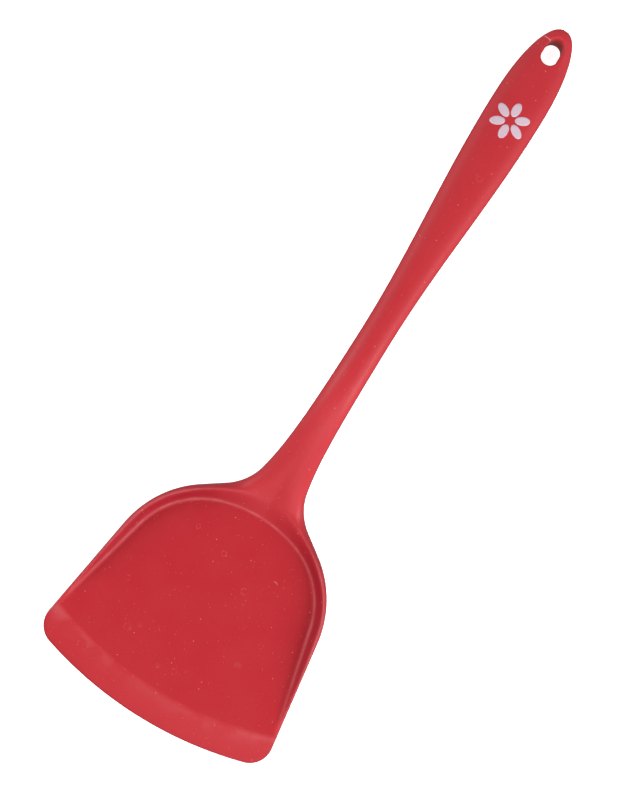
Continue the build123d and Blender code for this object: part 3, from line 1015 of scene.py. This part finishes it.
def pale_floor():
    """Even pale studio floor that glows a little, as a lit white table does."""
    look = Shading("pale_floor")
    look.bump(look.noise(1.5), 0.02)
    look.shader.inputs["Emission Color"].default_value = (1, 1, 1, 1)
    look.shader.inputs["Emission Strength"].default_value = FLOOR_GLOW
    colour = look.mix(look.noise(60), (0.88, 0.88, 0.88), (0.92, 0.92, 0.92))
    return look.finish(colour, 0.8, specular=0.1)


# ---------------------------------------------------------------- build

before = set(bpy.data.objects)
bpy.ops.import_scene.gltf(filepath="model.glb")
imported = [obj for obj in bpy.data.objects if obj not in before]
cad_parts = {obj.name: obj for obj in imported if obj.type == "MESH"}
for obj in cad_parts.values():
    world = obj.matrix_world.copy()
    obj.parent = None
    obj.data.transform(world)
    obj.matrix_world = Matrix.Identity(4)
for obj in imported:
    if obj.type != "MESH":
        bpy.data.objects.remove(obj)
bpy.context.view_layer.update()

skin = make_object("skin", *skin_mesh())
add_looks(skin)
mark = make_object("mark", *mark_mesh())
for piece, node, slot_name, material in (
    (skin, "silicone_skin", "silicone", silicone()),
    (mark, "printed_mark", "ink", ink()),
):
    piece.data.materials.append(material)
    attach(piece, "root")
    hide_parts(node)

core_material = nylon()
for node, material in (
    ("blade_insert", steel("sheet_steel", (1, 0.04, 1), (0.6, 0.6, 0.61))),
    ("core_rivets", steel("rivet_steel", (1, 1, 0.1), (0.5, 0.5, 0.51))),
    ("core_upper_half", core_material),
    ("core_lower_half", core_material),
):
    for material_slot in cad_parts[node].material_slots:
        material_slot.material = material

# ---------------------------------------------------------------- stage

CAMERA_PLACE = (-9.0, 149.5, 830.0)
CAMERA_TURN = 32.0
VIEW_HEIGHT = 333.3
FLOOR_REACH = 20.0
FLOOR_DROP = 0.0002
SKY = ((0.0, 0.6), (0.05, 0.85), (0.35, 1.0), (0.6, 0.45), (0.85, 0.12))   # height, light
SKY_STRENGTH = 0.85
# Name, place to the camera's right and ahead, height, size, all in m, then power in W
LIGHTS = (
    ("key", 1.0, -0.7, 0.7, 0.8, 24),
    ("fill", -0.95, 0.55, 0.65, 0.8, 15),
    ("front", -0.2, -1.1, 0.8, 0.8, 9),
)


def stage():
    """A wide floor just below the object, which lights and shades nothing else."""
    floor_mesh = bpy.data.meshes.new("floor")
    square = ((-1, -1), (1, -1), (1, 1), (-1, 1))
    corners = [(x * FLOOR_REACH, y * FLOOR_REACH, 0) for x, y in square]
    floor_mesh.from_pydata(corners, [], [(0, 1, 2, 3)])
    floor = bpy.data.objects.new("floor", floor_mesh)
    bpy.context.scene.collection.objects.link(floor)
    floor_mesh.materials.append(pale_floor())
    floor.location.z = -FLOOR_DROP
    floor.visible_diffuse = False
    floor.visible_glossy = False
    floor.visible_shadow = False


def lights():
    """Soft boxes round the object, with none straight above it."""
    turn = radians(CAMERA_TURN)
    right, up = Vector((cos(turn), sin(turn), 0)), Vector((-sin(turn), cos(turn), 0))
    for name, across, ahead, height, size, power in LIGHTS:
        data = bpy.data.lights.new(name, "AREA")
        data.shape = "SQUARE"
        data.size = size
        data.energy = power
        lamp = bpy.data.objects.new(name, data)
        bpy.context.scene.collection.objects.link(lamp)
        lamp.location = right * across + up * ahead + Vector((0, 0, height))
        lamp.rotation_euler = (-lamp.location).to_track_quat("-Z", "Y").to_euler()


def surroundings():
    """White surroundings that are bright at the sides, and dim straight above and below."""
    world = bpy.data.worlds.new("studio")
    bpy.context.scene.world = world
    world.use_nodes = True
    tree = world.node_tree
    place = tree.nodes.new("ShaderNodeTexCoord")
    split = tree.nodes.new("ShaderNodeSeparateXYZ")
    tree.links.new(place.outputs["Generated"], split.inputs["Vector"])
    fade = tree.nodes.new("ShaderNodeValToRGB")
    tree.links.new(split.outputs["Z"], fade.inputs["Fac"])
    stops = fade.color_ramp.elements
    for _ in SKY[len(stops):]:
        stops.new(1)
    for stop, (height, light) in zip(stops, SKY):
        stop.position = height
        stop.color = (light, light, light, 1)
    back = tree.nodes["Background"]
    tree.links.new(fade.outputs["Color"], back.inputs["Color"])
    back.inputs["Strength"].default_value = SKY_STRENGTH


def camera():
    """Camera straight above, turned so that the handle runs to the upper right."""
    data = bpy.data.cameras.new("camera")
    x, station, height = CAMERA_PLACE
    data.lens = data.sensor_width * height / VIEW_HEIGHT
    cam = bpy.data.objects.new("camera", data)
    bpy.context.scene.collection.objects.link(cam)
    cam.location = (x * MM, (station - LENGTH / 2) * MM, height * MM)
    cam.rotation_euler = Euler((0, 0, radians(CAMERA_TURN)))
    bpy.context.scene.camera = cam


stage()
lights()
surroundings()
camera()
bpy.context.scene.view_settings.view_transform = "Standard"
